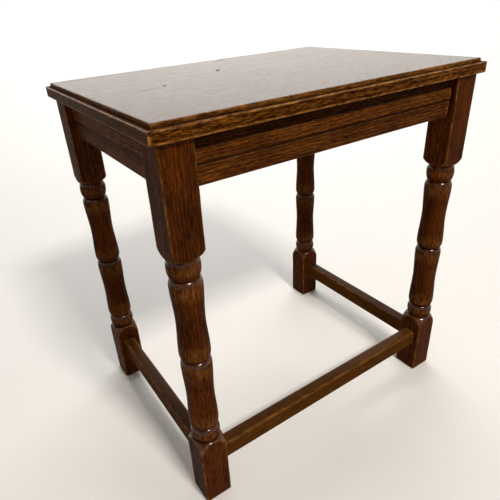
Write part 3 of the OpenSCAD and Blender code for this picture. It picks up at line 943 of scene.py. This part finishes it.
def stretcher_outline(sizes, height, width):
    """Outline of a stretcher, sideways and upward: rounded above, bevelled below."""
    h, b, r = width / 2, sizes.stretcher_bevel, sizes.stretcher_round
    # sideways, upward, rounding, wear
    corners = np.array(
        [
            [-h + b, 0.0, 0.0006, 0.3],
            [h - b, 0.0, 0.0006, 0.3],
            [h, b, 0.0008, 0.5],
            [h, height, r, 0.28],
            [-h, height, r, 0.28],
            [-h, b, 0.0008, 0.5],
        ]
    )
    steps = 11
    outline = soft_corners(corners[:, :2], corners[:, 2], steps)
    values = {WORN: on_arris(corners[:, 3], steps), PAINTED_SHADE_AND_GRIME: np.zeros(len(corners) * steps)}
    return outline, {**values, POLISH: facing_up(outline)}


def bar_piece(node, suffix, axis, outward, outline, values):
    """A bar along X or Y. The outline's outward number counts from the node's outer face, or from its
    middle where outward is 0. Its upward number counts from the node's lower face."""
    low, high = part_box(node)
    mid = (low + high) / 2
    length_half = (high.x - low.x) / 2 if axis == "x" else (high.y - low.y) / 2
    along = along_lines(length_half)
    if axis == "x":
        face = mid.y if outward == 0 else (high.y if outward > 0 else low.y)
        turn = outward if outward else -1

        def place(u, v, w):
            """Outward is Y and lengthwise is X."""
            return mid.x - turn * w, face + turn * u, low.z + v

    else:
        face = mid.x if outward == 0 else (high.x if outward > 0 else low.x)
        turn = outward if outward else 1

        def place(u, v, w):
            """Outward is X and lengthwise is Y."""
            return face + turn * u, mid.y + turn * w, low.z + v

    return carry(f"{node}_{suffix}", outline, values, along, place)


class NEST_OT_rails(bpy.types.Operator):
    """Moulded rails on three sides and the shallow rail over the open side"""

    bl_idname = "nest_table.rails"
    bl_label = "Rails"

    def execute(self, context):
        sizes, finish = context.scene.nest_sizes, context.scene.nest_finish
        woods = {
            axis: oak(
                f"oak rail along {axis}",
                axis,
                finish.rail_dark,
                finish.rail_light,
                finish,
                (0.4, 0.06, 0.30),
                flecks=0.58,
                coat=(0.02, 0.12, 0.25),
            )
            for axis in ("x", "y")
        }
        low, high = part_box("rail_closed_side")
        outline, values = moulded_outline(sizes, high.z - low.z, high.y - low.y)
        piece = bar_piece("rail_closed_side", "moulded", "x", -1, outline, values)
        finish_piece(piece, woods["x"], "rail_oak", "rail_closed_side")
        for node, outward in zip(SIDE_RAILS, (-1, 1)):
            low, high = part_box(node)
            outline, values = moulded_outline(sizes, high.z - low.z, high.x - low.x)
            piece = bar_piece(node, "moulded", "y", outward, outline, values)
            finish_piece(piece, woods["y"], "rail_oak", node)
        low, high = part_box("rail_open_side")
        outline, values = plain_outline(high.z - low.z, high.y - low.y)
        piece = bar_piece("rail_open_side", "planed", "x", 1, outline, values)
        finish_piece(piece, woods["x"], "rail_oak", "rail_open_side")
        return {"FINISHED"}


class NEST_OT_stretchers(bpy.types.Operator):
    """Floor stretchers on the closed side and the two short sides"""

    bl_idname = "nest_table.stretchers"
    bl_label = "Stretchers"

    def execute(self, context):
        sizes, finish = context.scene.nest_sizes, context.scene.nest_finish
        for node, axis in STRETCHERS.items():
            low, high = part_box(node)
            width = high.y - low.y if axis == "x" else high.x - low.x
            outline, values = stretcher_outline(sizes, high.z - low.z, width)
            material = bpy.data.materials.get(f"oak stretcher along {axis}") or oak(
                f"oak stretcher along {axis}",
                axis,
                finish.stretcher_dark,
                finish.stretcher_light,
                finish,
                (0.1, 0.13, 0.38),
                flecks=0.30,
                coat=(0.0, 0.24, 0.28),
            )
            piece = bar_piece(node, "shaped", axis, 0, outline, values)
            finish_piece(piece, material, "stretcher_oak", node)
        return {"FINISHED"}


# ---- hidden and underside pieces --------------------------------------------


class NEST_OT_joinery(bpy.types.Operator):
    """Materials for the corner blocks, dowels and screws, whose solids are right as they are"""

    bl_idname = "nest_table.joinery"
    bl_label = "Joinery"

    def execute(self, context):
        finish = context.scene.nest_finish
        block = bare_wood("beech blocks", finish.block_dark, finish.block_light, 0.0035)
        dowel = bare_wood("beech dowels", finish.dowel_dark, finish.dowel_light, 0.0025)
        brass = dull_brass("dull brass", finish.brass)
        for node in BLOCKS:
            self.dress(node, block)
        self.dress("rail_dowels", dowel)
        self.dress("stretcher_dowels", dowel)
        self.dress("top_screws", brass)
        return {"FINISHED"}

    @staticmethod
    def dress(node, material):
        """Gives one of the frame's solids its material."""
        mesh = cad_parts[node].data
        mesh.materials.clear()
        mesh.materials.append(material)


# ---- stage ------------------------------------------------------------------


def stage_surface(name):
    """A round floor that curves up into a far wall: radius and height follow a profile, carried round a
    circle. It lies a hair below the feet."""
    floor_r, bend_r, hair = 2.4, 1.2, 0.0002
    flat = np.array([0.0, 0.5, 1.0, 1.8, floor_r])
    bend = np.linspace(0.0, np.pi / 2, 13)[1:]
    wall_r = floor_r + bend_r
    radius = np.concatenate([flat, floor_r + bend_r * np.sin(bend), [wall_r, wall_r]])
    height = np.concatenate([np.zeros(len(flat)), bend_r * (1 - np.cos(bend)), [2.2, 3.4]])
    turn = np.linspace(0.0, 2 * np.pi, 97)[:-1]
    r, a = np.meshgrid(radius[1:], turn, indexing="ij")
    z = np.broadcast_to(height[1:, None], r.shape)
    rings = np.stack([r * np.cos(a), r * np.sin(a), z], -1).reshape(-1, 3)
    points = np.concatenate([rings, np.zeros((1, 3))])
    points[:, 2] -= hair
    quads = ring_quads(len(radius) - 1, len(turn))[:, ::-1]
    tris = fan_tris(np.arange(len(turn)), len(points) - 1, False)
    return build_mesh(name, points, quads, tris, closed=False)


def soft_light(name, place, aim, width, depth, power, tint):
    """A rectangular softbox at a place, facing a point."""
    data = bpy.data.lights.new(name, "AREA")
    data.shape = "RECTANGLE"
    data.size, data.size_y = width, depth
    data.energy = power
    data.color = tint
    light = bpy.data.objects.new(name, data)
    light.location = place
    light.rotation_euler = (Vector(aim) - Vector(place)).to_track_quat("-Z", "Y").to_euler()
    bpy.context.scene.collection.objects.link(light)


class NEST_OT_stage(bpy.types.Operator):
    """Plain pale floor, soft lights and the camera"""

    bl_idname = "nest_table.stage"
    bl_label = "Stage"

    def execute(self, context):
        look = context.scene.nest_stage
        floor = stage_surface("floor")
        t = Tree("pale floor")
        t.shader.inputs["Base Color"].default_value = rgba(look.floor_colour)
        t.shader.inputs["Roughness"].default_value = 0.62
        floor.data.materials.append(t.material)

        world = bpy.data.worlds.new("even light")
        world.use_nodes = True
        sky = world.node_tree.nodes["Background"]
        sky.inputs["Color"].default_value = rgba(look.sky_colour)
        sky.inputs["Strength"].default_value = look.sky_strength
        context.scene.world = world

        middle, far_wall = (0.0, 0.0, 0.28), (2.0, 2.9, 1.2)
        soft_light("key light", (0.0, -1.9, 2.35), middle, 0.5, 0.4, look.key_power, (1.0, 0.95, 0.88))
        soft_light("side light", (-2.0, -0.1, 1.5), middle, 1.2, 1.2, look.side_power, (0.88, 0.93, 1.0))
        soft_light("wall light", (0.8, 1.4, 3.3), far_wall, 2.2, 0.8, look.back_power, (0.97, 0.98, 1.0))

        data = bpy.data.cameras.new("camera")
        data.lens = look.lens
        data.sensor_width = 36.0
        data.shift_x, data.shift_y = look.shift_x, look.shift_y
        data.clip_start, data.clip_end = 0.01, 50.0
        camera = bpy.data.objects.new("camera", data)
        turn = Matrix.Rotation(-look.camera_yaw, 4, "Z")
        tilt = Matrix.Rotation(math.pi / 2 + look.camera_pitch, 4, "X")
        roll = Matrix.Rotation(look.camera_roll, 4, "Z")
        camera.matrix_world = Matrix.Translation(look.camera_place) @ turn @ tilt @ roll
        context.scene.collection.objects.link(camera)
        context.scene.camera = camera
        context.scene.view_settings.view_transform = "Standard"
        return {"FINISHED"}


# ---- panel and registration -------------------------------------------------

OPERATORS = (NEST_OT_top, NEST_OT_legs, NEST_OT_rails, NEST_OT_stretchers, NEST_OT_joinery, NEST_OT_stage)


class NEST_PT_panel(bpy.types.Panel):
    """Lists the builders and their settings"""

    bl_idname = "NEST_PT_panel"
    bl_label = "Nest Table"
    bl_space_type = "VIEW_3D"
    bl_region_type = "UI"
    bl_category = "Nest Table"

    def draw(self, context):
        for operator in OPERATORS:
            self.layout.operator(operator.bl_idname)
        for group in (context.scene.nest_sizes, context.scene.nest_finish, context.scene.nest_stage):
            box = self.layout.box()
            for key in group.bl_rna.properties.keys():
                if key not in ("rna_type", "name"):
                    box.prop(group, key)


GROUPS = {"nest_sizes": NestTableSizes, "nest_finish": NestTableFinish, "nest_stage": NestTableStage}
CLASSES = (*GROUPS.values(), *OPERATORS, NEST_PT_panel)


def register():
    """Adds the classes and the settings to the scene."""
    for cls in CLASSES:
        bpy.utils.register_class(cls)
    for key, group in GROUPS.items():
        setattr(bpy.types.Scene, key, PointerProperty(type=group))


def unregister():
    """Takes the settings and the classes away again."""
    for key in GROUPS:
        delattr(bpy.types.Scene, key)
    for cls in reversed(CLASSES):
        bpy.utils.unregister_class(cls)


def main():
    """Builds every piece and the stage."""
    register()
    for operator in OPERATORS:
        group, name = operator.bl_idname.split(".")
        getattr(getattr(bpy.ops, group), name)()


if __name__ == "__main__":
    main()
